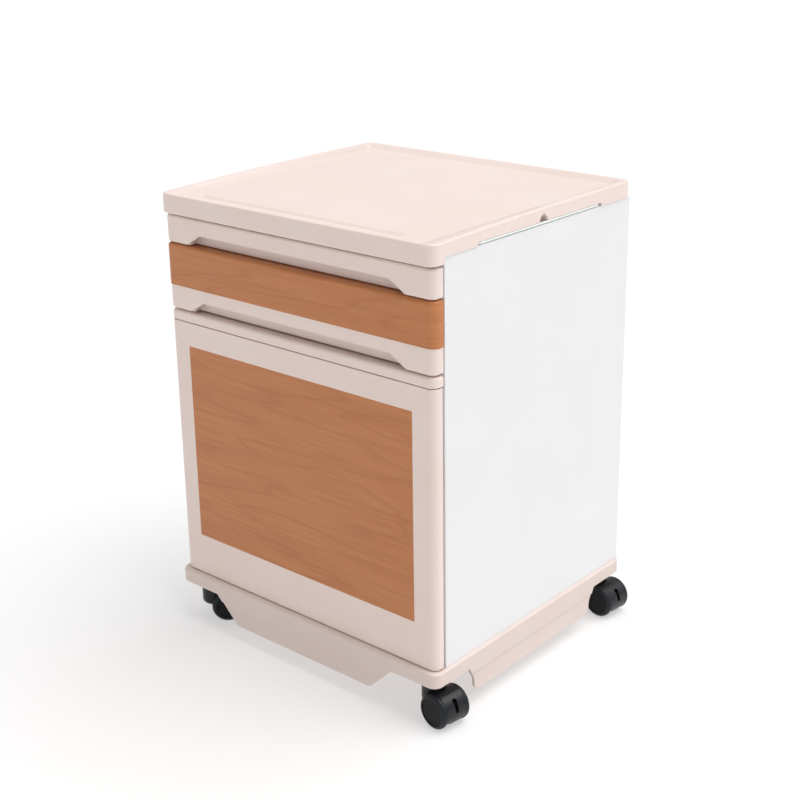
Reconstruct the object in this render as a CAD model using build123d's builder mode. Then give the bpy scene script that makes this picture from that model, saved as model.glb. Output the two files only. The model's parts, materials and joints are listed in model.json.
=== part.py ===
from build123d import *
from math import cos, radians, sin
import os

os.makedirs("parts", exist_ok=True)

# Bedside cabinet on four twin-wheel casters, in millimetres.
# +Z is up, -Y is the front, and the origin is on the floor under the middle of the cabinet.

# ---------------------------------------------------------------- driving dimensions
WIDTH = 500.0  # over the top tray
DEPTH = 446.0  # over the top tray
HEIGHT = 680.0  # floor to the rear rim of the top tray

TRAY_SURFACE = HEIGHT - 6.0
APRON_BOTTOM = HEIGHT - 34.0
PANEL_TOP = HEIGHT - 24.0
TRAY_ROUND = 14.0
TRAY_WALL = 6.0
TRAY_SKIN = 5.0  # between the tray surface and the hollow underside
RIM_WIDTH = 9.0
RIM_TAPER = 60.0

PANEL_FACE = 248.5  # outer face of a side panel, from the middle
PANEL_THICK = 12.0
PANEL_INSIDE = PANEL_FACE - PANEL_THICK
PANEL_FRONT = -198.0
PANEL_BACK = 221.0
PANEL_EDGE_ROUND = 0.8

BASE_HALF_WIDTH = 253.5
BASE_HALF_DEPTH = 226.0
BASE_ROUND = 14.0
BASE_BOTTOM = 66.0
BASE_TOP = 87.0
BASE_SKIN = 4.0  # thickness of the base deck
BASE_WALL = 5.0
BASE_EDGE_ROUND = 3.0
SKIRT_BOTTOM = 26.0
SKIRT_CREASE = 56.0

FRONT_FACE = -218.0
FRONT_BACK = -199.5
FRONT_THICK = FRONT_BACK - FRONT_FACE
FRONT_HALF_WIDTH = 247.3
FRONT_ROUND = 11.0
TOP_EDGE_ROUND = 4.5
LOW_EDGE_ROUND = 3.0
SHARP_EDGE_ROUND = 1.0

DOOR_BOTTOM = 88.2
DOOR_TOP = 487.3
RAIL_BOTTOM = 488.5
RAIL_TOP = 503.0
DRAWER_BOTTOM = 505.5
DRAWER_TOP = 602.0
BOARD_STRIP_BOTTOM = 603.5
BOARD_STRIP_TOP = 643.8
WOOD_BAND_BOTTOM = 541.0

GRIP_HALF_BOTTOM = 203.0
GRIP_HALF_TOP = 174.5
GRIP_HEIGHT = 17.0
GRIP_POCKET_HEIGHT = 30.0
GRIP_SKIN = 4.0
GRIP_TOP_ROUND = 6.0
GRIP_LOW_ROUND = 8.0

ROD_R = 2.0
RUNNING_GAP = 0.05  # radial clearance of every running fit
TOWEL_ROD_X = 247.6
TOWEL_ROD_Z = 658.6
TOWEL_ARM_FRONT = -131.0
TOWEL_ARM_BACK = 142.5
TOWEL_ARM_END = 112.0

BOARD_Z = 631.0
BOARD_THICK = 12.0
BOARD_HALF_WIDTH = 234.0
BOARD_BACK = 185.0
BOARD_CORNER_ROUND = 10.0

SLIDE_Z = 550.0
SLIDE_FRONT = -193.0
SLIDE_LENGTH = 350.0
BOX_HALF_WIDTH = PANEL_INSIDE - 12.7
BOX_BOTTOM = 513.0
BOX_TOP = 588.0
BOX_BACK = 150.0

PIVOT_X = 241.5
PIVOT_Y = -205.5
PIVOT_PIN_R = 3.0

SHELF_Z = 285.0
SHELF_THICK = 12.0

WHEEL_R = 25.0
TRAIL = 22.0
STEM_R = 5.5
AXLE_R = 3.0
SWIVEL_X = 221.5
SWIVEL_FRONT_Y = -191.5
SWIVEL_REAR_Y = 206.0

# Each caster: its swivel axis on the floor plan, and the direction that its wheels trail in.
CASTERS = {
    "front_right": (SWIVEL_X, SWIVEL_FRONT_Y, -8.0),
    "rear_right": (SWIVEL_X, SWIVEL_REAR_Y, -5.0),
    "front_left": (-SWIVEL_X, SWIVEL_FRONT_Y, 48.0),
    "rear_left": (-SWIVEL_X, SWIVEL_REAR_Y, 191.6),
}
SIDES = {"right": 1, "left": -1}


def save(piece, name):
    """Label a finished piece and write it to its own STEP file."""
    piece.part.label = name
    export_step(piece.part, f"parts/{name}.step")


def block(x, y, z, mode=Mode.ADD):
    """A box between two limits on each axis, in the current part."""
    middle = ((x[0] + x[1]) / 2, (y[0] + y[1]) / 2, (z[0] + z[1]) / 2)
    with Locations(middle):
        Box(abs(x[1] - x[0]), abs(y[1] - y[0]), abs(z[1] - z[0]), mode=mode)


def rod_along_x(x, y, z, radius, mode=Mode.ADD):
    """A cylinder between two x values."""
    with BuildSketch(Plane(origin=(min(x), y, z), x_dir=(0, 1, 0), z_dir=(1, 0, 0))) as disc:
        Circle(radius)
    extrude(disc.sketch, amount=abs(x[1] - x[0]), mode=mode)


def rod_along_y(x, y, z, radius, mode=Mode.ADD):
    """A cylinder between two y values."""
    with BuildSketch(Plane(origin=(x, min(y), z), x_dir=(1, 0, 0), z_dir=(0, 1, 0))) as disc:
        Circle(radius)
    extrude(disc.sketch, amount=abs(y[1] - y[0]), mode=mode)


def rod_along_z(x, y, z, radius, mode=Mode.ADD):
    """A cylinder between two z values."""
    with BuildSketch(Plane(origin=(x, y, min(z)))) as disc:
        Circle(radius)
    extrude(disc.sketch, amount=abs(z[1] - z[0]), mode=mode)


# ---------------------------------------------------------------- top tray

GROOVE_Y = -DEPTH / 2 + 21.5
GROOVE_LENGTH = 374.0
GROOVE_WIDTH = 11.0
GROOVE_DEPTH = 1.6
GROOVE_TAPER = 58.0
NOTCH_Y = 7.5
NOTCH_Z = HEIGHT - 19.0
NOTCH_R = 9.3
RAIL_RECESS_TOP = TOWEL_ROD_Z + ROD_R + 0.3
RAIL_RECESS_X = 244.0
RAIL_RECESS_END = ROD_R + 0.5  # beyond each arm of the rail
BOSS_HALF = 16.5
BOSS_X = 228.0
NOTCH_X = 241.0


def rim_crest():
    """Everything above the side rims, which rise from the front edge to the back rim."""
    with BuildSketch(Plane.YZ.offset(-WIDTH)) as above:
        with BuildLine():
            front = (-DEPTH / 2 - 1, TRAY_SURFACE)
            middle = (-DEPTH / 2 + 165, HEIGHT - 1.7)
            back = (DEPTH / 2 + 1, HEIGHT)
            Spline(front, middle, back, tangents=[(1, 0.03), (1, 0)])
            Polyline(back, (back[0], HEIGHT + 10), (front[0], HEIGHT + 10), front)
        make_face()
    extrude(above.sketch, amount=2 * WIDTH, mode=Mode.SUBTRACT)


with BuildPart() as top_tray:
    with BuildSketch(Plane.XY.offset(APRON_BOTTOM)):
        RectangleRounded(WIDTH, DEPTH, TRAY_ROUND)
    extrude(amount=HEIGHT - APRON_BOTTOM)
    # The apron hangs down in front of the side panels only.
    block((-WIDTH, WIDTH), (PANEL_FRONT, DEPTH), (APRON_BOTTOM - 1, PANEL_TOP), mode=Mode.SUBTRACT)
    rim_crest()
    # The tray is sunk behind a sloping rim at the back and sides, and runs out level at the front.
    with BuildSketch(Plane.XY.offset(HEIGHT)):
        with Locations((0, -DEPTH / 4)):
            RectangleRounded(WIDTH - 2 * RIM_WIDTH, 1.5 * DEPTH - 2 * RIM_WIDTH, TRAY_ROUND)
    extrude(amount=TRAY_SURFACE - HEIGHT, taper=RIM_TAPER, mode=Mode.SUBTRACT)
    # Pen groove near the front edge.
    with BuildSketch(Plane.XY.offset(TRAY_SURFACE)):
        with Locations((0, GROOVE_Y)):
            SlotOverall(GROOVE_LENGTH, GROOVE_WIDTH)
    extrude(amount=-GROOVE_DEPTH, taper=GROOVE_TAPER, mode=Mode.SUBTRACT)
    # Hollow underside.
    block(
        (-WIDTH / 2 + TRAY_WALL, WIDTH / 2 - TRAY_WALL),
        (-DEPTH / 2 + TRAY_WALL, DEPTH / 2 - TRAY_WALL),
        (APRON_BOTTOM - 1, TRAY_SURFACE - TRAY_SKIN),
        mode=Mode.SUBTRACT,
    )
    for side in SIDES.values():
        # Finger notch above the towel rail, with a boss behind it.
        boss_x = (side * BOSS_X, side * (WIDTH / 2 - TRAY_WALL / 2))
        boss_y = (NOTCH_Y - BOSS_HALF, NOTCH_Y + BOSS_HALF)
        block(boss_x, boss_y, (PANEL_TOP, TRAY_SURFACE - TRAY_SKIN + 1))
        notch_x = (side * NOTCH_X, side * (WIDTH / 2 + 1))
        rod_along_x(notch_x, NOTCH_Y, NOTCH_Z, NOTCH_R, mode=Mode.SUBTRACT)
        # Recess along the lower edge that holds the towel rail flush.
        recess_x = (side * RAIL_RECESS_X, side * (WIDTH / 2 + 1))
        recess_y = (TOWEL_ARM_FRONT - RAIL_RECESS_END, TOWEL_ARM_BACK + RAIL_RECESS_END)
        block(recess_x, recess_y, (PANEL_TOP - 1, RAIL_RECESS_TOP), mode=Mode.SUBTRACT)
save(top_tray, "top_tray")

# ---------------------------------------------------------------- towel rails

ROD_BEND = 6.0
COLLAR_R = 3.6
GUIDE_X = (200.0, 226.0)
GUIDE_HALF = 8.0
GUIDE_BOTTOM = TOWEL_ROD_Z - 8.6
COLLAR_LENGTH = 4.0

for name, side in SIDES.items():
    with BuildPart() as towel_rail:
        with BuildLine(Plane.XY.offset(TOWEL_ROD_Z)):
            bar_x = side * TOWEL_ROD_X
            end_x = side * TOWEL_ARM_END
            FilletPolyline(
                (end_x, TOWEL_ARM_FRONT),
                (bar_x, TOWEL_ARM_FRONT),
                (bar_x, TOWEL_ARM_BACK),
                (end_x, TOWEL_ARM_BACK),
                radius=ROD_BEND,
            )
        rod_start = Plane(origin=(end_x, TOWEL_ARM_FRONT, TOWEL_ROD_Z), z_dir=(side, 0, 0))
        with BuildSketch(rod_start):
            Circle(ROD_R)
        sweep()
        # Collars on the inner ends stop the rail from pulling right out.
        for arm in (TOWEL_ARM_FRONT, TOWEL_ARM_BACK):
            rod_along_x((end_x, end_x + side * COLLAR_LENGTH), arm, TOWEL_ROD_Z, COLLAR_R)
    save(towel_rail, f"towel_rail_{name}")

    with BuildPart() as rail_guide:
        for arm in (TOWEL_ARM_FRONT, TOWEL_ARM_BACK):
            guide = (side * GUIDE_X[0], side * GUIDE_X[1])
            bore = (side * (GUIDE_X[0] - 1), side * (GUIDE_X[1] + 1))
            guide_y = (arm - GUIDE_HALF, arm + GUIDE_HALF)
            block(guide, guide_y, (GUIDE_BOTTOM, TRAY_SURFACE - TRAY_SKIN))
            rod_along_x(bore, arm, TOWEL_ROD_Z, ROD_R + RUNNING_GAP, mode=Mode.SUBTRACT)
    save(rail_guide, f"towel_rail_guides_{name}")

# ---------------------------------------------------------------- side panels, back, shelf

BACK_PANEL_Y = 213.0
BACK_PANEL_THICK = 4.0
REBATE = 6.0
SCREW_HEIGHTS = (130.0, 290.0, 450.0, 610.0)
SCREW_X = PANEL_INSIDE + REBATE / 2
SCREW_R = 1.5
SCREW_HEAD_R = 2.9
SCREW_HOLE_R = 1.6
SCREW_DEPTH = 11.0
SCREW_HEAD = 1.6
SHELF_FRONT = -185.0
SHELF_EDGE_ROUND = 2.0
SHELF_PINS_Y = (-140.0, 150.0)
SHELF_PIN_R = 4.0
PIN_DEPTH = 6.0
DIVIDER_Z = (492.0, 497.0)
LEDGE_BACK = -160.0  # rear edge of the cross rail's ledge, where the divider starts


for name, side in SIDES.items():
    with BuildPart() as side_panel:
        block((side * PANEL_INSIDE, side * PANEL_FACE), (PANEL_FRONT, PANEL_BACK), (BASE_TOP, PANEL_TOP))
        outer_face = side_panel.faces().sort_by(Axis.X)[-1 if side > 0 else 0]
        fillet(outer_face.edges().filter_by(Axis.Z), radius=PANEL_EDGE_ROUND)
        rebate = (side * (PANEL_INSIDE - 1), side * (PANEL_INSIDE + REBATE))
        block(rebate, (BACK_PANEL_Y, PANEL_BACK + 1), (BASE_TOP - 1, PANEL_TOP + 1), mode=Mode.SUBTRACT)
        for height in SCREW_HEIGHTS:
            screw_y = (BACK_PANEL_Y - SCREW_DEPTH - 1, BACK_PANEL_Y)
            rod_along_y(side * SCREW_X, screw_y, height, SCREW_HOLE_R, mode=Mode.SUBTRACT)
        for pin_y in SHELF_PINS_Y:
            pin_x = (side * PANEL_INSIDE, side * (PANEL_INSIDE + PIN_DEPTH))
            rod_along_x(pin_x, pin_y, SHELF_Z - SHELF_PIN_R, SHELF_PIN_R, mode=Mode.SUBTRACT)
    save(side_panel, f"side_panel_{name}")

with BuildPart() as back_panel:
    half = PANEL_INSIDE + REBATE - 0.3
    block((-half, half), (BACK_PANEL_Y, BACK_PANEL_Y + BACK_PANEL_THICK), (BASE_TOP, PANEL_TOP))
    for side in SIDES.values():
        for height in SCREW_HEIGHTS:
            through = (BACK_PANEL_Y - 1, BACK_PANEL_Y + BACK_PANEL_THICK + 1)
            rod_along_y(side * SCREW_X, through, height, SCREW_HOLE_R, mode=Mode.SUBTRACT)
save(back_panel, "back_panel")

with BuildPart() as back_screws:
    head_y = BACK_PANEL_Y + BACK_PANEL_THICK
    for side in SIDES.values():
        for height in SCREW_HEIGHTS:
            rod_along_y(side * SCREW_X, (BACK_PANEL_Y - SCREW_DEPTH, head_y), height, SCREW_R)
            rod_along_y(side * SCREW_X, (head_y, head_y + SCREW_HEAD), height, SCREW_HEAD_R)
save(back_screws, "back_screws")

with BuildPart() as inner_shelf:
    shelf_half = PANEL_INSIDE - 0.5
    block((-shelf_half, shelf_half), (SHELF_FRONT, BACK_PANEL_Y - 2), (SHELF_Z, SHELF_Z + SHELF_THICK))
    fillet(inner_shelf.edges().filter_by(Axis.X).sort_by(Axis.Y)[:2], radius=SHELF_EDGE_ROUND)
save(inner_shelf, "inner_shelf")

with BuildPart() as shelf_pins:
    for side in SIDES.values():
        for pin_y in SHELF_PINS_Y:
            pin_x = (side * (PANEL_INSIDE - 2 * PIN_DEPTH), side * (PANEL_INSIDE + PIN_DEPTH))
            rod_along_x(pin_x, pin_y, SHELF_Z - SHELF_PIN_R, SHELF_PIN_R)
save(shelf_pins, "shelf_pins")

with BuildPart() as divider_panel:
    block((-PANEL_INSIDE, PANEL_INSIDE), (LEDGE_BACK, BACK_PANEL_Y), DIVIDER_Z)
save(divider_panel, "divider_panel")

# ---------------------------------------------------------------- base


SKIRT_TOP = BASE_BOTTOM + 4.0
SKIRT_MIDDLE = 46.0
SKIRT_THICK = 4.0
CREASE_STEP = 1.3
SKIRT_ROUND = 11.0
# Half lengths of a skirt at its top, at its middle height and at the bottom.
FRONT_SKIRT = (178.0, 153.5, 133.0)
SIDE_SKIRT = (155.0, 142.0, 140.0)
BOSS_R = 16.0
SOCKET_R = 9.0
BUSH_R = 4.2
BUSH_BOSS_R = 6.5
BUSH_BOTTOM = 72.0


def skirt(plane, top_half, middle_half, low_half):
    """A thin splayed wall under the base, whose face steps back below a crease."""
    slope = (top_half - middle_half) / (SKIRT_TOP - SKIRT_MIDDLE)
    crease_half = middle_half + slope * (SKIRT_CREASE - SKIRT_MIDDLE)
    whole = [(low_half, SKIRT_BOTTOM), (middle_half, SKIRT_MIDDLE), (top_half, SKIRT_TOP)]
    upper = [(crease_half, SKIRT_CREASE), (top_half, SKIRT_TOP)]
    for right_edge, set_back in ((whole, CREASE_STEP), (upper, 0.0)):
        left_edge = [(-across, z) for across, z in reversed(right_edge)]
        with BuildSketch(plane.offset(-set_back)) as wall:
            with BuildLine():
                Polyline(*right_edge, *left_edge, close=True)
            make_face()
            if set_back:
                fillet(wall.vertices().group_by(Axis.Y)[0], radius=SKIRT_ROUND)
        extrude(wall.sketch, amount=-SKIRT_THICK)


with BuildPart() as base_plate:
    with BuildSketch(Plane.XY.offset(BASE_BOTTOM)):
        RectangleRounded(2 * BASE_HALF_WIDTH, 2 * BASE_HALF_DEPTH, BASE_ROUND)
    extrude(amount=BASE_TOP - BASE_BOTTOM)
    fillet(base_plate.faces().sort_by(Axis.Z)[-1].edges(), radius=BASE_EDGE_ROUND)
    with BuildSketch(Plane.XY.offset(BASE_BOTTOM)):
        RectangleRounded(
            2 * (BASE_HALF_WIDTH - BASE_WALL), 2 * (BASE_HALF_DEPTH - BASE_WALL), BASE_ROUND - BASE_WALL
        )
    extrude(amount=BASE_TOP - BASE_SKIN - BASE_BOTTOM, mode=Mode.SUBTRACT)
    # Four corner bosses take the caster sockets.
    for x, y, _ in CASTERS.values():
        rod_along_z(x, y, (BASE_BOTTOM - 2, BASE_TOP), BOSS_R)
        rod_along_z(x, y, (BASE_BOTTOM - 3, BASE_TOP - 3), SOCKET_R, mode=Mode.SUBTRACT)
    # The front and back skirts splay further than the side ones.
    for side in SIDES.values():
        front = Plane(origin=(0, side * BASE_HALF_DEPTH, 0), x_dir=(-side, 0, 0), z_dir=(0, side, 0))
        skirt(front, *FRONT_SKIRT)
        flank = Plane(origin=(side * BASE_HALF_WIDTH, 0, 0), x_dir=(0, side, 0), z_dir=(side, 0, 0))
        skirt(flank, *SIDE_SKIRT)
    # Boss for the lower door bush.
    rod_along_z(PIVOT_X, PIVOT_Y, (BUSH_BOTTOM, BASE_TOP), BUSH_BOSS_R)
    rod_along_z(PIVOT_X, PIVOT_Y, (BUSH_BOTTOM - 1, BASE_TOP + 1), BUSH_R, mode=Mode.SUBTRACT)
save(base_plate, "base_plate")

with BuildPart() as caster_sockets:
    for x, y, _ in CASTERS.values():
        rod_along_z(x, y, (BASE_BOTTOM - 3.5, BASE_BOTTOM - 2), BOSS_R - 3)
        rod_along_z(x, y, (BASE_BOTTOM - 2, BASE_TOP - 3), SOCKET_R)
        socket_bore = (BASE_BOTTOM - 4, BASE_TOP - 5)
        rod_along_z(x, y, socket_bore, STEM_R + RUNNING_GAP, mode=Mode.SUBTRACT)
save(caster_sockets, "caster_sockets")

# ---------------------------------------------------------------- fronts


GRIP_RUN_OUT = 12.0


def front_slab(builder, z, bottom_round=LOW_EDGE_ROUND, top_round=TOP_EDGE_ROUND):
    """A front with rounded upright edges and softened top and bottom edges."""
    with BuildSketch(Plane.XY.offset(z[0])) as plan:
        with Locations((0, (FRONT_FACE + FRONT_BACK) / 2)):
            Rectangle(2 * FRONT_HALF_WIDTH, FRONT_THICK)
        fillet(plan.vertices().group_by(Axis.Y)[0], radius=FRONT_ROUND)
    extrude(plan.sketch, amount=z[1] - z[0])
    for end, radius in ((0, bottom_round), (-1, top_round)):
        end_face = builder.faces().sort_by(Axis.Z)[end]
        fillet(end_face.edges().sort_by(Axis.Y)[:-1], radius=radius)


def finger_grip(bottom):
    """A cut-out in the lower edge of a front, with a pocket behind it for the fingers."""
    right_edge = [
        (GRIP_HALF_BOTTOM + GRIP_RUN_OUT, bottom - 1),
        (GRIP_HALF_BOTTOM + GRIP_RUN_OUT, bottom),
        (GRIP_HALF_BOTTOM, bottom),
        (GRIP_HALF_TOP, bottom + GRIP_HEIGHT),
    ]
    left_edge = [(-x, z) for x, z in reversed(right_edge)]
    with BuildSketch(Plane.XZ.offset(-FRONT_FACE + 3)) as opening:
        with BuildLine():
            Polyline(*right_edge, *left_edge, close=True)
        make_face()
        fillet(opening.vertices().group_by(Axis.Y)[-1], radius=GRIP_TOP_ROUND)
        fillet(opening.vertices().group_by(Axis.Y)[1].sort_by(Axis.X)[1:-1], radius=GRIP_LOW_ROUND)
    extrude(opening.sketch, amount=-(GRIP_SKIN + 3), mode=Mode.SUBTRACT)
    pocket_x = (-GRIP_HALF_BOTTOM + 5, GRIP_HALF_BOTTOM - 5)
    pocket_y = (FRONT_FACE + GRIP_SKIN, FRONT_BACK - 4)
    pocket_z = (bottom - 1, bottom + GRIP_POCKET_HEIGHT)
    block(pocket_x, pocket_y, pocket_z, mode=Mode.SUBTRACT)


with BuildPart() as board_front:
    front_slab(board_front, (BOARD_STRIP_BOTTOM, BOARD_STRIP_TOP))
    finger_grip(BOARD_STRIP_BOTTOM)
save(board_front, "board_front")

board_z = (BOARD_Z - BOARD_THICK / 2, BOARD_Z + BOARD_THICK / 2)

with BuildPart() as dining_board:
    block((-BOARD_HALF_WIDTH, BOARD_HALF_WIDTH), (FRONT_BACK, BOARD_BACK), board_z)
    fillet(dining_board.edges().filter_by(Axis.Z).sort_by(Axis.Y)[-2:], radius=BOARD_CORNER_ROUND)
save(dining_board, "dining_board")

RUNNER_X = 227.0
RUNNER_Y = (-195.0, 205.0)
RUNNER_Z = (618.0, 644.0)
BOARD_GAP = 0.6

for name, side in SIDES.items():
    with BuildPart() as board_runner:
        block((side * RUNNER_X, side * PANEL_INSIDE), RUNNER_Y, RUNNER_Z)
        groove_x = (side * (RUNNER_X - 1), side * (BOARD_HALF_WIDTH + BOARD_GAP))
        groove_y = (RUNNER_Y[0] - 1, RUNNER_Y[1] + 1)
        groove_z = (board_z[0] - BOARD_GAP, board_z[1] + BOARD_GAP)
        block(groove_x, groove_y, groove_z, mode=Mode.SUBTRACT)
    save(board_runner, f"board_runner_{name}")

COVER_PROUD = 1.0
COVER_THICK = 2.5
COVER_ROUND = 5.0


def cover_core(mode=Mode.ADD):
    """The upper part of the drawer front, set back to fit inside the wood-grain cover."""
    half_width = FRONT_HALF_WIDTH + COVER_PROUD - COVER_THICK
    face = FRONT_FACE - COVER_PROUD + COVER_THICK
    with BuildSketch(Plane.XY.offset(WOOD_BAND_BOTTOM)) as core:
        with Locations((0, (face + FRONT_BACK) / 2)):
            Rectangle(2 * half_width, FRONT_BACK - face)
        fillet(core.vertices().group_by(Axis.Y)[0], radius=FRONT_ROUND + COVER_PROUD - COVER_THICK)
    extrude(core.sketch, amount=DRAWER_TOP - COVER_THICK - WOOD_BAND_BOTTOM, mode=mode)


with BuildPart() as drawer_front:
    front_slab(drawer_front, (DRAWER_BOTTOM, DRAWER_TOP))
    band_z = (WOOD_BAND_BOTTOM, DRAWER_TOP + 1)
    block((-WIDTH, WIDTH), (FRONT_FACE - 1, FRONT_BACK + 1), band_z, mode=Mode.SUBTRACT)
    cover_core()
    finger_grip(DRAWER_BOTTOM)
save(drawer_front, "drawer_front")

with BuildPart() as drawer_cover:
    with BuildSketch(Plane.XY.offset(WOOD_BAND_BOTTOM)) as skin:
        with Locations((0, (FRONT_FACE - COVER_PROUD + FRONT_BACK) / 2)):
            Rectangle(2 * (FRONT_HALF_WIDTH + COVER_PROUD), FRONT_THICK + COVER_PROUD)
        fillet(skin.vertices().group_by(Axis.Y)[0], radius=FRONT_ROUND + COVER_PROUD)
    extrude(amount=DRAWER_TOP - WOOD_BAND_BOTTOM)
    cover_top = drawer_cover.faces().sort_by(Axis.Z)[-1]
    fillet(cover_top.edges().sort_by(Axis.Y)[:-1], radius=COVER_ROUND)
    cover_core(mode=Mode.SUBTRACT)
save(drawer_cover, "drawer_cover")

BOX_WALL = 3.0

with BuildPart() as drawer_box:
    block((-BOX_HALF_WIDTH, BOX_HALF_WIDTH), (FRONT_BACK, BOX_BACK), (BOX_BOTTOM, BOX_TOP))
    opening = drawer_box.faces().sort_by(Axis.Z)[-1]
    offset(amount=-BOX_WALL, openings=opening)
save(drawer_box, "drawer_box")

# Telescopic slide members, as (reach from the panel, half height, web side).
OUTER_MEMBER = ((0.0, 9.0), 17.5, 0.0)
MIDDLE_MEMBER = ((2.0, 10.0), 15.5, 2.0)
INNER_MEMBER = ((4.0, 12.7), 13.3, 11.5)
SLIDE_SHEET = 1.2


def slide_member(side, member, start, length):
    """A channel of 1.2 mm sheet, web upright, running front to back."""
    reach, half_height, web = member
    y = (start, start + length)
    near = side * (PANEL_INSIDE - reach[0])
    far = side * (PANEL_INSIDE - reach[1])
    web_x = (side * (PANEL_INSIDE - web), side * (PANEL_INSIDE - web - SLIDE_SHEET))
    block(web_x, y, (SLIDE_Z - half_height, SLIDE_Z + half_height))
    for up in (-1, 1):
        edge = SLIDE_Z + up * half_height
        block((near, far), y, (edge - up * SLIDE_SHEET, edge))


for name, side in SIDES.items():
    with BuildPart() as slide_outer:
        slide_member(side, OUTER_MEMBER, SLIDE_FRONT, SLIDE_LENGTH)
    save(slide_outer, f"slide_outer_{name}")
    with BuildPart() as slide_middle:
        slide_member(side, MIDDLE_MEMBER, SLIDE_FRONT + 4, SLIDE_LENGTH - 12)
    save(slide_middle, f"slide_middle_{name}")
    with BuildPart() as slide_inner:
        slide_member(side, INNER_MEMBER, SLIDE_FRONT + 2, BOX_BACK - SLIDE_FRONT - 4)
    save(slide_inner, f"slide_inner_{name}")

RAIL_BUSH_DEPTH = 9.0

with BuildPart() as cross_rail:
    front_slab(cross_rail, (RAIL_BOTTOM, RAIL_TOP), bottom_round=SHARP_EDGE_ROUND)
    block((-PANEL_INSIDE, PANEL_INSIDE), (FRONT_BACK, LEDGE_BACK), (RAIL_BOTTOM + 1, RAIL_TOP - 1))
    bush_z = (RAIL_BOTTOM - 1, RAIL_BOTTOM + RAIL_BUSH_DEPTH)
    rod_along_z(PIVOT_X, PIVOT_Y, bush_z, BUSH_R, mode=Mode.SUBTRACT)
save(cross_rail, "cross_rail")

# ---------------------------------------------------------------- door

WOOD_PANEL_HALF = 210.5
WOOD_PANEL_Z = (152.0, 452.0)
WOOD_PANEL_THICK = 3.0
LINER_HALF = 214.0
LINER_Z = (112.0, 462.0)
LINER_THICK = 2.5
LINER_REST = 6.0  # width of the ledge that the liner sits on
HINGE_EDGE_ROUND = 3.0
PIN_LENGTH = 14.0  # of each pivot pin inside the door
LOW_PIN_REACH = 12.0  # into the base
TOP_PIN_REACH = 7.0  # into the cross rail

with BuildPart() as door_frame:
    front_slab(door_frame, (DOOR_BOTTOM, DOOR_TOP), SHARP_EDGE_ROUND, SHARP_EDGE_ROUND)
    # The rear of the hinge edge is rounded, so that it turns clear of the side panel.
    back_edges = door_frame.edges().filter_by(Axis.Z).group_by(Axis.Y)[-1]
    fillet(back_edges.sort_by(Axis.X)[-1], radius=HINGE_EDGE_ROUND)
    panel_y = (FRONT_FACE - 1, FRONT_FACE + WOOD_PANEL_THICK)
    block((-WOOD_PANEL_HALF, WOOD_PANEL_HALF), panel_y, WOOD_PANEL_Z, mode=Mode.SUBTRACT)
    hollow_x = (-LINER_HALF + LINER_REST, LINER_HALF - LINER_REST)
    hollow_y = (FRONT_FACE + 2 * WOOD_PANEL_THICK, FRONT_BACK + 1)
    hollow_z = (LINER_Z[0] + LINER_REST, LINER_Z[1] - LINER_REST)
    block(hollow_x, hollow_y, hollow_z, mode=Mode.SUBTRACT)
    liner_y = (FRONT_BACK - LINER_THICK, FRONT_BACK + 1)
    block((-LINER_HALF, LINER_HALF), liner_y, LINER_Z, mode=Mode.SUBTRACT)
    for pin_z in ((DOOR_BOTTOM - 1, DOOR_BOTTOM + PIN_LENGTH), (DOOR_TOP - PIN_LENGTH, DOOR_TOP + 1)):
        rod_along_z(PIVOT_X, PIVOT_Y, pin_z, PIVOT_PIN_R, mode=Mode.SUBTRACT)
save(door_frame, "door_frame")

with BuildPart() as door_wood_panel:
    panel_y = (FRONT_FACE, FRONT_FACE + WOOD_PANEL_THICK)
    block((-WOOD_PANEL_HALF, WOOD_PANEL_HALF), panel_y, WOOD_PANEL_Z)
save(door_wood_panel, "door_wood_panel")

with BuildPart() as door_liner:
    block((-LINER_HALF, LINER_HALF), (FRONT_BACK - LINER_THICK, FRONT_BACK), LINER_Z)
save(door_liner, "door_liner")

with BuildPart() as door_pins:
    rod_along_z(PIVOT_X, PIVOT_Y, (BASE_TOP - LOW_PIN_REACH, DOOR_BOTTOM + PIN_LENGTH), PIVOT_PIN_R)
    rod_along_z(PIVOT_X, PIVOT_Y, (DOOR_TOP - PIN_LENGTH, RAIL_BOTTOM + TOP_PIN_REACH), PIVOT_PIN_R)
save(door_pins, "door_pins")

BUSH_FLANGE_R = 5.4
BUSH_FLANGE = 0.8

with BuildPart() as door_bushes:
    rod_along_z(PIVOT_X, PIVOT_Y, (BUSH_BOTTOM, BASE_TOP), BUSH_R)
    rod_along_z(PIVOT_X, PIVOT_Y, (BASE_TOP, BASE_TOP + BUSH_FLANGE), BUSH_FLANGE_R)
    rod_along_z(PIVOT_X, PIVOT_Y, (RAIL_BOTTOM, RAIL_BOTTOM + RAIL_BUSH_DEPTH), BUSH_R)
    rod_along_z(PIVOT_X, PIVOT_Y, (RAIL_BOTTOM - BUSH_FLANGE, RAIL_BOTTOM), BUSH_FLANGE_R)
    lower_bore = (BUSH_BOTTOM - 1, BASE_TOP + 3)
    upper_bore = (RAIL_BOTTOM - 3, RAIL_BOTTOM + RAIL_BUSH_DEPTH - 1)
    for bore in (lower_bore, upper_bore):
        rod_along_z(PIVOT_X, PIVOT_Y, bore, PIVOT_PIN_R + RUNNING_GAP, mode=Mode.SUBTRACT)
save(door_bushes, "door_bushes")

CATCH_X = (-200.0, -160.0)
CATCH_BACK = -176.0
STRIKE_THICK = 1.0
STRIKE_Z = (466.0, 481.0)
CATCH_BOTTOM = 464.0
MAGNET_GAP = 0.6
CATCH_ROUND = 2.0

with BuildPart() as strike_plate:
    block(CATCH_X, (FRONT_BACK, FRONT_BACK + STRIKE_THICK), STRIKE_Z)
save(strike_plate, "strike_plate")

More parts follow.
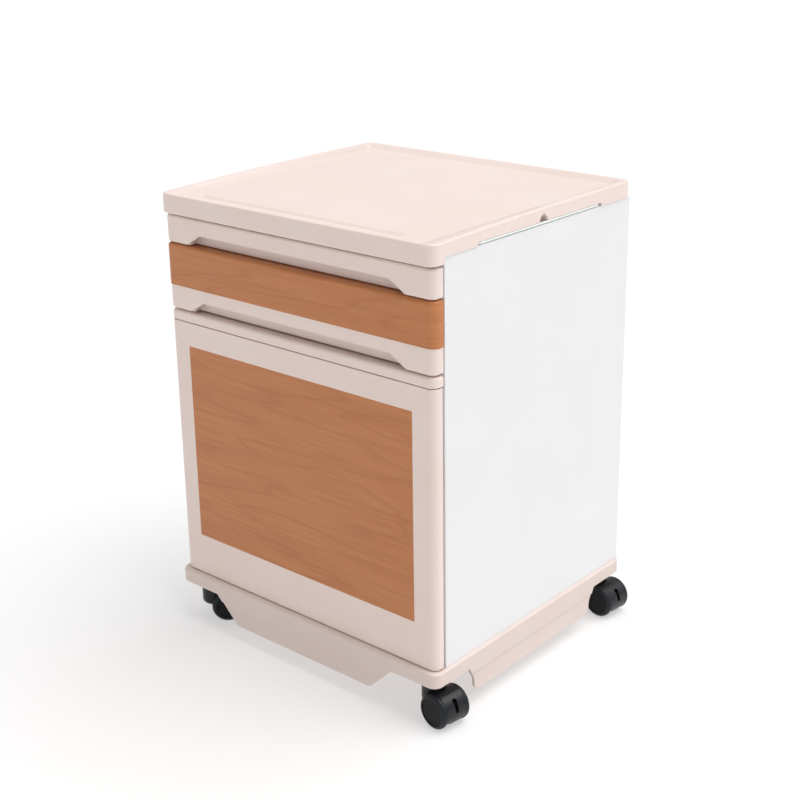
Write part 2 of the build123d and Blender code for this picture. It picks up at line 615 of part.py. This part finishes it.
with BuildPart() as magnet_catch:
    catch_y = (FRONT_BACK + STRIKE_THICK + MAGNET_GAP, CATCH_BACK)
    block(CATCH_X, catch_y, (CATCH_BOTTOM, RAIL_BOTTOM + 1))
    fillet(magnet_catch.edges().filter_by(Axis.Z), radius=CATCH_ROUND)
save(magnet_catch, "magnet_catch")

# ---------------------------------------------------------------- casters

HOOD_HALF_WIDTH = 17.5
HOOD_WALL = 2.0
WEB_HALF_WIDTH = 11.0
HOUSING_R = 17.0
HOUSING_Z = (24.0, BASE_BOTTOM - 5.0)
HOUSING_ROUND = 8.0
HOUSING_TOP_ROUND = 1.5
WEB_BOTTOM = 13.0
TONGUE_HALF_WIDTH = 8.0
TONGUE_Z = 10.0
HOOD_SIDE_Z = 16.0
SLOT_HALF_WIDTH = 2.8
SLOT_EYE_R = 4.0
SLOT_FLOOR_R = 12.5
SLOT_START = 2.0  # degrees above the level of the axle
SLOT_END = 42.0
EYE_FLOOR_R = 17.0
LEVER_INNER_R = 14.0
LEVER_OUTER_R = 18.5
LEVER_TIP_R = 20.0
LEVER_ANGLES = (22.0, 39.0)
LEVER_TIP_START = 31.0
LEVER_HALF_WIDTH = 2.3
HUB_BORE_END = 21.0
AXLE_HALF_LENGTH = 20.5

# Half of a wheel from the caster's middle outwards, as distance along the axle and radius.
DRUM_INNER_FACE = 11.4
DRUM_R = 22.6
TREAD_INNER_FACE = 18.0
WHEEL_OUTER_FACE = 25.0
DISC_R = 19.2
DISC_DEPTH = 0.8
SHOULDER_ROUND = 5.3
TREAD_ROUND = 0.6


def caster_side_plane(x, y, heading):
    """Upright plane through the axle: local x trails, local y is up, and it faces sideways."""
    angle = radians(heading)
    trail_dir = (cos(angle), sin(angle), 0)
    side_dir = (sin(angle), -cos(angle), 0)
    axle = (x + TRAIL * trail_dir[0], y + TRAIL * trail_dir[1], WHEEL_R)
    return Plane(origin=axle, x_dir=trail_dir, z_dir=side_dir)


def axle_disc(plane, radius, amount, both=False, mode=Mode.ADD):
    """A disc centred on the axle."""
    with BuildSketch(plane) as disc:
        Circle(radius)
    extrude(disc.sketch, amount=amount, both=both, mode=mode)


def ring_sector(plane, inner, outer, start, end, half_width, mode=Mode.ADD):
    """A sector of a ring about the axle, between two angles above the horizontal."""
    with BuildSketch(plane) as sector:
        with BuildLine():
            far = CenterArc((0, 0), outer, start, end - start)
            near = CenterArc((0, 0), inner, start, end - start)
            Line(far @ 0, near @ 0)
            Line(far @ 1, near @ 1)
        make_face()
    extrude(sector.sketch, amount=half_width, both=True, mode=mode)


def swivel_housing(x, y):
    """The upright barrel round the stem, with a rounded lower edge."""
    with BuildSketch(Plane(origin=(x, y, 0), x_dir=(1, 0, 0), z_dir=(0, -1, 0))) as half_profile:
        with BuildLine():
            bottom, top = HOUSING_Z
            Polyline((0, bottom), (HOUSING_R, bottom), (HOUSING_R, top), (0, top), close=True)
        make_face()
        fillet(half_profile.vertices().group_by(Axis.X)[-1].sort_by(Axis.Y)[0], radius=HOUSING_ROUND)
    revolve(half_profile.sketch, axis=Axis((x, y, 0), (0, 0, 1)))


def hood_underside(plane):
    """Opens the hood below: level in front, and a tongue between the wheels behind."""
    behind = Plane(origin=plane.origin, x_dir=-plane.z_dir, z_dir=plane.x_dir)
    floor = -WHEEL_R - 1
    wide = HOOD_HALF_WIDTH + 3
    tongue_z = TONGUE_Z - WHEEL_R
    side_z = HOOD_SIDE_Z - WHEEL_R
    with BuildSketch(behind) as rear_cut:
        with BuildLine():
            Polyline(
                (-wide, floor),
                (-wide, side_z),
                (-TONGUE_HALF_WIDTH, tongue_z),
                (TONGUE_HALF_WIDTH, tongue_z),
                (wide, side_z),
                (wide, floor),
                close=True,
            )
        make_face()
    extrude(rear_cut.sketch, amount=2 * WHEEL_R, mode=Mode.SUBTRACT)
    front_z = WEB_BOTTOM - WHEEL_R
    with BuildSketch(behind) as front_cut:
        with Locations((0, (floor + front_z) / 2)):
            Rectangle(2 * wide, front_z - floor)
    extrude(front_cut.sketch, amount=-3 * WHEEL_R, mode=Mode.SUBTRACT)


for name, (x, y, heading) in CASTERS.items():
    side_plane = caster_side_plane(x, y, heading)

    with BuildPart() as caster_body:
        # A barrel over both wheels, with the upright swivel housing in front of it.
        axle_disc(side_plane, WHEEL_R, HOOD_HALF_WIDTH, both=True)
        swivel_housing(x, y)
        fillet(caster_body.faces().sort_by(Axis.Z)[-1].edges(), radius=HOUSING_TOP_ROUND)
        # Wheel wells on both sides of the middle web.
        for hand in (1, -1):
            well = side_plane.offset(hand * WEB_HALF_WIDTH)
            axle_disc(well, WHEEL_R - HOOD_WALL, hand * HOOD_HALF_WIDTH, mode=Mode.SUBTRACT)
        hood_underside(side_plane)
        # Keyhole slot for the brake lever.
        ring_sector(
            side_plane, SLOT_FLOOR_R, WHEEL_R + 5, SLOT_START, SLOT_END, SLOT_HALF_WIDTH, mode=Mode.SUBTRACT
        )
        eye_angle = radians(SLOT_END - 2)
        eye_dir = Vector(*side_plane.x_dir) * cos(eye_angle) + Vector(0, 0, sin(eye_angle))
        with BuildSketch(Plane(origin=side_plane.origin + eye_dir * EYE_FLOOR_R, z_dir=eye_dir)) as eye:
            Circle(SLOT_EYE_R)
        extrude(eye.sketch, amount=WHEEL_R, mode=Mode.SUBTRACT)
        # Axle hole.
        axle_disc(side_plane, AXLE_R, HOOD_HALF_WIDTH, both=True, mode=Mode.SUBTRACT)
        rod_along_z(x, y, (HOUSING_Z[1] - 2, BASE_TOP - 7), STEM_R)
    save(caster_body, f"caster_body_{name}")

    with BuildPart() as brake_lever:
        start, end = LEVER_ANGLES
        ring_sector(side_plane, LEVER_INNER_R, LEVER_OUTER_R, start, end, LEVER_HALF_WIDTH)
        ring_sector(side_plane, LEVER_INNER_R, LEVER_TIP_R, LEVER_TIP_START, end, LEVER_HALF_WIDTH)
    save(brake_lever, f"brake_lever_{name}")

    with BuildPart() as axle:
        axle_disc(side_plane, AXLE_R, AXLE_HALF_LENGTH, both=True)
    save(axle, f"axle_{name}")

    for wheel_name, hand in (("a", 1), ("b", -1)):
        outward = side_plane.z_dir * hand
        across = Plane(origin=side_plane.origin, x_dir=outward, z_dir=side_plane.x_dir * hand)
        with BuildPart() as wheel:
            with BuildSketch(across) as half_section:
                with BuildLine():
                    Polyline(
                        (DRUM_INNER_FACE, AXLE_R + RUNNING_GAP),
                        (HUB_BORE_END, AXLE_R + RUNNING_GAP),
                        (HUB_BORE_END, 0),
                        (WHEEL_OUTER_FACE - DISC_DEPTH, 0),
                        (WHEEL_OUTER_FACE - DISC_DEPTH, DISC_R),
                        (WHEEL_OUTER_FACE, DISC_R),
                        (WHEEL_OUTER_FACE, WHEEL_R),
                        (TREAD_INNER_FACE, WHEEL_R),
                        (TREAD_INNER_FACE, DRUM_R),
                        (DRUM_INNER_FACE, DRUM_R),
                        close=True,
                    )
                make_face()
                rims = half_section.vertices().group_by(Axis.Y)[-1].sort_by(Axis.X)
                fillet(rims[-1], radius=SHOULDER_ROUND)
                fillet(rims[0], radius=TREAD_ROUND)
            revolve(half_section.sketch, axis=Axis(side_plane.origin, outward))
        save(wheel, f"wheel_{wheel_name}_{name}")
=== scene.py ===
import json
import math

import bmesh
import bpy
from mathutils import Matrix, Vector


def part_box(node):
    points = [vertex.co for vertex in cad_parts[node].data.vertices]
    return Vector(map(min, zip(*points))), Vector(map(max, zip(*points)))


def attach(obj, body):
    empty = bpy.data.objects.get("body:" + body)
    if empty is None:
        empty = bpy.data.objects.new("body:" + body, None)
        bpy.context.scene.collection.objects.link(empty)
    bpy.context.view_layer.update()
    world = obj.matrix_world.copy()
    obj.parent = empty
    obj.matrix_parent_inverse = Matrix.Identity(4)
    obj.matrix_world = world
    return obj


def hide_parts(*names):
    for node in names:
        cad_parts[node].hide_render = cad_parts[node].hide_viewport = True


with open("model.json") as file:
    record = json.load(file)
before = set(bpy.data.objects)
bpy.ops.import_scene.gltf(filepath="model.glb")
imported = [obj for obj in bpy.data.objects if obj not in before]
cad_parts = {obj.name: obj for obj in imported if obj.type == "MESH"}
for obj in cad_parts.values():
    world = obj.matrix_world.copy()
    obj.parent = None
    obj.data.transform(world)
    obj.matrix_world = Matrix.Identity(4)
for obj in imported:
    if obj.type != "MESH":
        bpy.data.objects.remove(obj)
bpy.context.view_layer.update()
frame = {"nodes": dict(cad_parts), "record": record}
nodes = frame["nodes"]

# ---------------------------------------------------------------- materials


def rgb(red, green, blue):
    """A display colour, 0 to 255, as the linear colour that a shader socket takes."""
    values = [v / 255 for v in (red, green, blue)]
    linear = [v / 12.92 if v <= 0.04045 else ((v + 0.055) / 1.055) ** 2.4 for v in values]
    return (*linear, 1.0)


MIX_COLOR_INPUTS = (0, 6, 7)  # factor and the two colours of a Mix node set to RGBA
MIX_COLOR_OUTPUT = 2


class Shader:
    """Builds one procedural material around a Principled BSDF."""

    def __init__(self, name, color, roughness):
        self.material = bpy.data.materials.new(name)
        self.material.use_nodes = True
        self.tree = self.material.node_tree
        self.bsdf = self.tree.nodes["Principled BSDF"]
        self.set("Base Color", color)
        self.set("Roughness", roughness)
        self.material.diffuse_color = color
        self.position = self.node("ShaderNodeTexCoord").outputs["Object"]

    def set(self, socket, value):
        self.bsdf.inputs[socket].default_value = value

    def node(self, kind, **properties):
        made = self.tree.nodes.new(kind)
        for key, value in properties.items():
            setattr(made, key, value)
        return made

    def link(self, source, target):
        self.tree.links.new(source, target)

    def scaled(self, scale=(1, 1, 1), location=(0, 0, 0), source=None):
        """Object coordinates in metres, or another source, stretched by scale."""
        mapping = self.node("ShaderNodeMapping")
        mapping.inputs["Scale"].default_value = scale
        mapping.inputs["Location"].default_value = location
        self.link(source or self.position, mapping.inputs["Vector"])
        return mapping.outputs["Vector"]

    def noise(self, vector, scale, detail=3.0, roughness=0.5, distortion=0.0):
        made = self.node("ShaderNodeTexNoise")
        made.inputs["Scale"].default_value = scale
        made.inputs["Detail"].default_value = detail
        made.inputs["Roughness"].default_value = roughness
        made.inputs["Distortion"].default_value = distortion
        self.link(vector, made.inputs["Vector"])
        return made.outputs["Fac"]

    def levels(self, source, low, high, out_low, out_high):
        """Maps a value from one range to another, clamped."""
        made = self.node("ShaderNodeMapRange")
        made.inputs["From Min"].default_value = low
        made.inputs["From Max"].default_value = high
        made.inputs["To Min"].default_value = out_low
        made.inputs["To Max"].default_value = out_high
        self.link(source, made.inputs["Value"])
        return made.outputs["Result"]

    def fill(self, socket, value):
        """Links an output to a socket, or sets the socket to a constant."""
        if hasattr(value, "is_output"):
            self.link(value, socket)
        else:
            socket.default_value = value

    def mix(self, factor, first, second):
        """Mixes two colours, each a socket or a constant."""
        made = self.node("ShaderNodeMix", data_type="RGBA")
        for index, value in zip(MIX_COLOR_INPUTS, (factor, first, second)):
            self.fill(made.inputs[index], value)
        return made.outputs[MIX_COLOR_OUTPUT]

    def math(self, operation, first, second):
        made = self.node("ShaderNodeMath", operation=operation)
        self.fill(made.inputs[0], first)
        self.fill(made.inputs[1], second)
        return made.outputs["Value"]

    def bump(self, height, strength, distance):
        made = self.node("ShaderNodeBump")
        made.inputs["Strength"].default_value = strength
        made.inputs["Distance"].default_value = distance
        self.link(height, made.inputs["Height"])
        self.link(made.outputs["Normal"], self.bsdf.inputs["Normal"])


def moulded_plastic(name, color, shade, roughness, texture=0.12, specular=0.5):
    """Moulded ABS: a faint spark-eroded texture, and colour and gloss that vary a little."""
    made = Shader(name, color, roughness)
    made.set("Specular IOR Level", specular)
    cloudy = made.noise(made.scaled(), 9.0, 3.0)
    tone = made.mix(made.levels(cloudy, 0.35, 0.65, 0.0, 1.0), color, shade)
    made.link(tone, made.bsdf.inputs["Base Color"])
    grain = made.noise(made.scaled(), 1400.0, 2.0, 0.6)
    smudge = made.noise(made.scaled(), 26.0, 4.0, 0.6)
    gloss = made.levels(smudge, 0.3, 0.7, roughness - 0.03, roughness + 0.04)
    made.link(gloss, made.bsdf.inputs["Roughness"])
    made.bump(grain, texture, 0.0002)
    return made.material


def brushed_metal(name, color, shade, roughness, streaks):
    """Drawn or rolled steel: fine streaks along Y in gloss and relief, and colour in faint patches."""
    made = Shader(name, color, roughness)
    made.set("Metallic", 1.0)
    lines = made.noise(made.scaled((1, 0.02, 1)), streaks, 3.0, 0.6)
    patches = made.noise(made.scaled(), 60.0, 3.0, 0.6)
    tone = made.mix(made.levels(patches, 0.35, 0.65, 0.0, 1.0), color, shade)
    made.link(tone, made.bsdf.inputs["Base Color"])
    streaky = made.levels(lines, 0.3, 0.7, 0.0, 0.08)
    patchy = made.levels(patches, 0.3, 0.7, 0.0, 0.05)
    gloss = made.math("ADD", streaky, patchy)
    made.link(made.math("ADD", gloss, roughness), made.bsdf.inputs["Roughness"])
    made.bump(lines, 0.08, 0.0001)
    return made.material


def wood_laminate(name):
    """Cherry-coloured printed laminate, with the grain lying across the fronts and round their ends."""
    middle = rgb(193, 124, 75)
    light = rgb(204, 136, 84)
    deep = rgb(174, 104, 60)
    made = Shader(name, middle, 0.34)
    made.set("Specular IOR Level", 0.4)
    split = made.node("ShaderNodeSeparateXYZ")
    made.link(made.position, split.inputs["Vector"])
    flow = made.node("ShaderNodeCombineXYZ")
    made.link(made.math("ADD", split.outputs["X"], split.outputs["Y"]), flow.inputs["X"])
    made.link(split.outputs["Z"], flow.inputs["Z"])
    along = flow.outputs["Vector"]

    # Growth rings cut at a slant: long flat arches.
    slant = made.scaled((1.9, 1, 15), location=(0.37, 0, 0.21), source=along)
    swell = made.noise(slant, 1.0, 3.0, 0.35, 0.1)
    rings = made.math("PINGPONG", made.math("MULTIPLY", swell, 15.0), 1.0)
    arches = made.levels(rings, 0.72, 1.0, 0.0, 1.0)
    # Broad lighter and darker bands, then streaks, fibres and pores.
    drift = made.noise(made.scaled((2.2, 1, 22), source=along), 1.0, 3.0, 0.5)
    streaks = made.noise(made.scaled((5.5, 1, 170), source=along), 1.0, 3.0, 0.6, 0.15)
    fibres = made.noise(made.scaled((9, 1, 620), source=along), 1.0, 3.0, 0.6)
    pores = made.noise(made.scaled((60, 1, 1500), source=along), 1.0, 2.0, 0.5)

    tone = made.mix(made.levels(drift, 0.3, 0.7, 0.15, 0.85), middle, light)
    tone = made.mix(made.math("MULTIPLY", arches, 0.42), tone, deep)
    tone = made.mix(made.levels(streaks, 0.42, 0.72, 0.0, 0.42), tone, deep)
    tone = made.mix(made.levels(fibres, 0.4, 0.75, 0.0, 0.45), tone, deep)
    tone = made.mix(made.levels(pores, 0.62, 0.72, 0.0, 0.3), tone, deep)
    made.link(tone, made.bsdf.inputs["Base Color"])
    made.link(made.levels(fibres, 0.3, 0.7, 0.31, 0.39), made.bsdf.inputs["Roughness"])
    made.bump(pores, 0.06, 0.0001)
    return made.material


beige = moulded_plastic("beige_abs", rgb(238, 222, 215), rgb(236, 219, 211), 0.4, specular=0.45)
# The base's beige is a darker copy of the tray's: painted shade for the dimmer light low down near the
# floor.
shaded_base_beige = moulded_plastic("base_abs_painted_shade", rgb(225, 210, 203), rgb(222, 206, 199), 0.42, specular=0.4)
white = moulded_plastic("white_panel", rgb(235, 235, 237), rgb(233, 233, 235), 0.2, texture=0.05)
board = moulded_plastic("white_board", rgb(233, 232, 230), rgb(231, 230, 228), 0.5)
grey = moulded_plastic("grey_plastic", rgb(214, 211, 206), rgb(206, 203, 198), 0.45)
black = moulded_plastic("black_nylon", rgb(30, 32, 35), rgb(26, 28, 31), 0.3, specular=0.3)
tread = moulded_plastic("black_tread", rgb(33, 37, 43), rgb(29, 33, 39), 0.42, specular=0.25)
wheel_disc = moulded_plastic("black_wheel_disc", rgb(22, 24, 27), rgb(18, 20, 23), 0.45, specular=0.15)
dark = moulded_plastic("dark_plastic", rgb(52, 52, 54), rgb(46, 46, 48), 0.5, specular=0.3)
steel = brushed_metal("zinc_steel", rgb(186, 188, 190), rgb(170, 173, 178), 0.28, 900.0)
chrome = brushed_metal("polished_steel", rgb(240, 246, 243), rgb(232, 239, 236), 0.16, 2500.0)
wood = wood_laminate("wood_grain_laminate")

LOOKS = {
    "beige_plastic": beige,
    "white_panel": white,
    "white_board": board,
    "grey_plastic": grey,
    "wood_grain_laminate": wood,
    "polished_steel": chrome,
    "zinc_steel": steel,
    "black_nylon": black,
    "black_tread": tread,
    "dark_plastic": dark,
}

SLOTS = {part["node"]: part["material_slot"] for part in frame["record"]["subparts"]}
BODIES = {node: body for body, members in frame["record"]["behaviour"]["bodies"].items() for node in members}

for node, slot in SLOTS.items():
    mesh = nodes[node].data
    mesh.materials.clear()
    mesh.materials.append(LOOKS[slot])

# ---------------------------------------------------------------- pieces with finished edges


WELD = 2e-6
FLAT_ANGLE = math.radians(0.4)
SHARP_ANGLE = math.radians(32)


def finished_copy(node, name, width, materials, segments=3, least_angle=35.0, wanted=None):
    """A copy of a CAD node whose sharp outer edges are rounded over, standing for that node."""
    mesh = bpy.data.meshes.new(name)
    shape = bmesh.new()
    shape.from_mesh(nodes[node].data)
    bmesh.ops.remove_doubles(shape, verts=shape.verts, dist=WELD)
    bmesh.ops.dissolve_limit(shape, angle_limit=FLAT_ANGLE, verts=shape.verts, edges=shape.edges)
    if width:
        sharp = [
            edge
            for edge in shape.edges
            if len(edge.link_faces) == 2
            and edge.is_convex
            and edge.calc_face_angle(0) > math.radians(least_angle)
            and (wanted is None or wanted(edge))
        ]
        bmesh.ops.bevel(
            shape,
            geom=sharp,
            offset=width,
            offset_type="OFFSET",
            segments=segments,
            profile=0.5,
            affect="EDGES",
            clamp_overlap=False,
        )
        bmesh.ops.remove_doubles(shape, verts=shape.verts, dist=WELD)
    for face in shape.faces:
        face.smooth = True
    shape.to_mesh(mesh)
    shape.free()
    for material in materials:
        mesh.materials.append(material)
    mesh.set_sharp_from_angle(angle=SHARP_ANGLE)
    piece = bpy.data.objects.new(name, mesh)
    bpy.context.collection.objects.link(piece)
    weighted = piece.modifiers.new("weighted_normals", "WEIGHTED_NORMAL")
    weighted.keep_sharp = True
    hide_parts(node)
    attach(piece, BODIES[node])
    return piece


TRAY_BEVEL = 0.0022
BASE_BEVEL = 0.0008
TRAY_OUTLINE_INSET = 0.0045
TRAY_UPPER_BAND = 0.670  # above the rail recess and the finger notches
TRAY_FRONT_Y = -0.19


def tray_outline(edge):
    """True for the edges round the outside of the tray, away from the rail recess and the hollow."""
    low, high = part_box("top_tray")
    middle = (edge.verts[0].co + edge.verts[1].co) / 2
    inset = min(middle.x - low[0], high[0] - middle.x, middle.y - low[1], high[1] - middle.y)
    in_front = middle.y < TRAY_FRONT_Y
    return inset < TRAY_OUTLINE_INSET and (middle.z > TRAY_UPPER_BAND or in_front)


tray = finished_copy("top_tray", "tray_top", TRAY_BEVEL, [beige], segments=4, wanted=tray_outline)

# The floor of the long groove near the front edge lies deeper than in the CAD, for crisper sides.
GROOVE_Y = (-0.208, -0.195)
GROOVE_Z = (0.6715, 0.6732)
GROOVE_HALF_LENGTH = 0.19
GROOVE_DROP = 0.0013
for vertex in tray.data.vertices:
    inside = GROOVE_Y[0] < vertex.co.y < GROOVE_Y[1] and GROOVE_Z[0] < vertex.co.z < GROOVE_Z[1]
    if inside and abs(vertex.co.x) < GROOVE_HALF_LENGTH:
        vertex.co.z -= GROOVE_DROP

finished_copy("base_plate", "base_moulding", BASE_BEVEL, [shaded_base_beige], segments=2)

DISC_EDGE = 0.0193
DISC_LEAST_OFFSET = 0.02  # from the middle of the caster, along the axle
FLAT_FACE = 0.99


def two_tone_wheel(node):
    """A wheel whose recessed disc is darker than its tread."""
    piece = finished_copy(node, node + "_tyre_and_disc", 0, [tread, wheel_disc])
    joint = next(j for j in frame["record"]["behaviour"]["joints"] if j["child"] == BODIES[node])
    centre, axis = Vector(joint["pos_m"]), Vector(joint["axis"]).normalized()
    for face in piece.data.polygons:
        offset = face.center - centre
        along = offset.dot(axis)
        radius = (offset - along * axis).length
        faces_out = abs(face.normal.dot(axis)) > FLAT_FACE and abs(along) > DISC_LEAST_OFFSET
        if faces_out and radius < DISC_EDGE:
            face.material_index = 1


for node in SLOTS:
    if node.startswith("wheel_"):
        two_tone_wheel(node)

# ---------------------------------------------------------------- floor, lights, camera


WHITE = (1, 1, 1, 1)
FLOOR_HALF = 40.0
FLOOR_GLOW = 0.47
SKY_STRENGTH = 0.56
WARM_SKY = (0.86, 0.80, 0.765, 1)
WARM_SKY_END = 0.2  # the Y of the sky direction where the warm tint has faded out
SUN_ENERGY = 2.25
SUN_ANGLE = math.radians(50)
TOWARDS_SUN = Vector((0.36, 0.22, 0.91))
SOFTBOX_PLACE = Vector((1.85, 2.1, 1.5))
SOFTBOX_TARGET = Vector((0, 0, 0.5))
SOFTBOX_SIZE = (2.2, 1.6)
SOFTBOX_ENERGY = 8.0


def lamp(name, kind, energy, towards):
    """A light whose back faces towards a direction, so that it shines the other way."""
    data = bpy.data.lights.new(name, kind)
    data.energy = energy
    light = bpy.data.objects.new(name, data)
    light.rotation_euler = towards.to_track_quat("Z", "Y").to_euler()
    bpy.context.collection.objects.link(light)
    return light


def pale_floor():
    """A pale floor that gives off some light of its own, and so comes out white."""
    floor_mesh = bpy.data.meshes.new("floor")
    corners = [(x * FLOOR_HALF, y * FLOOR_HALF, 0) for x, y in ((-1, -1), (1, -1), (1, 1), (-1, 1))]
    floor_mesh.from_pydata(corners, [], [(0, 1, 2, 3)])
    floor = bpy.data.objects.new("floor", floor_mesh)
    bpy.context.collection.objects.link(floor)
    pale = Shader("pale_floor", rgb(184, 184, 184), 0.8)
    pale.set("Specular IOR Level", 0.1)
    pale.set("Emission Color", WHITE)
    pale.set("Emission Strength", FLOOR_GLOW)
    floor_mesh.materials.append(pale.material)


def soft_sky():
    """A white sky that is a little warmer in front of the cabinet."""
    world = bpy.data.worlds.new("studio")
    world.use_nodes = True
    tree = world.node_tree
    background = tree.nodes["Background"]
    background.inputs["Strength"].default_value = SKY_STRENGTH
    direction = tree.nodes.new("ShaderNodeTexCoord")
    split = tree.nodes.new("ShaderNodeSeparateXYZ")
    fade = tree.nodes.new("ShaderNodeMapRange")
    fade.inputs["From Min"].default_value = -1.0
    fade.inputs["From Max"].default_value = WARM_SKY_END
    tint = tree.nodes.new("ShaderNodeValToRGB")
    tint.color_ramp.elements[0].color = WARM_SKY
    tint.color_ramp.elements[1].color = WHITE
    tree.links.new(direction.outputs["Generated"], split.inputs["Vector"])
    tree.links.new(split.outputs["Y"], fade.inputs["Value"])
    tree.links.new(fade.outputs["Result"], tint.inputs["Fac"])
    tree.links.new(tint.outputs["Color"], background.inputs["Color"])
    bpy.context.scene.world = world


pale_floor()
soft_sky()

sun = lamp("soft_sun", "SUN", SUN_ENERGY, TOWARDS_SUN)
sun.data.angle = SUN_ANGLE

# The softbox behind and to the right lights nothing, and is only seen in glossy reflections:
# on the steel rods, and as a faint sheen on the tray in views from the front left.
softbox = lamp("softbox", "AREA", SOFTBOX_ENERGY, SOFTBOX_PLACE - SOFTBOX_TARGET)
softbox.data.shape = "RECTANGLE"
softbox.data.size, softbox.data.size_y = SOFTBOX_SIZE
softbox.location = SOFTBOX_PLACE
softbox.visible_camera = False
softbox.visible_diffuse = False

LENS_MM = 64.487
CAMERA_SHIFT = -0.06
CAMERA_PLACE = (1.307, -1.506, 1.104)
CAMERA_ANGLES = (40.881, 18.697, -0.836)  # yaw to the left, pitch down and roll, in degrees

camera_data = bpy.data.cameras.new("camera")
camera = bpy.data.objects.new("camera", camera_data)
bpy.context.collection.objects.link(camera)
bpy.context.scene.camera = camera
camera_data.sensor_width = 36.0
camera_data.lens = LENS_MM
camera_data.shift_y = CAMERA_SHIFT
camera.location = CAMERA_PLACE
yaw, pitch, roll = (math.radians(angle) for angle in CAMERA_ANGLES)
turn = Matrix.Rotation(yaw, 4, "Z") @ Matrix.Rotation(math.pi / 2 - pitch, 4, "X")
camera.rotation_euler = (turn @ Matrix.Rotation(roll, 4, "Z")).to_euler()

bpy.context.scene.view_settings.view_transform = "Standard"
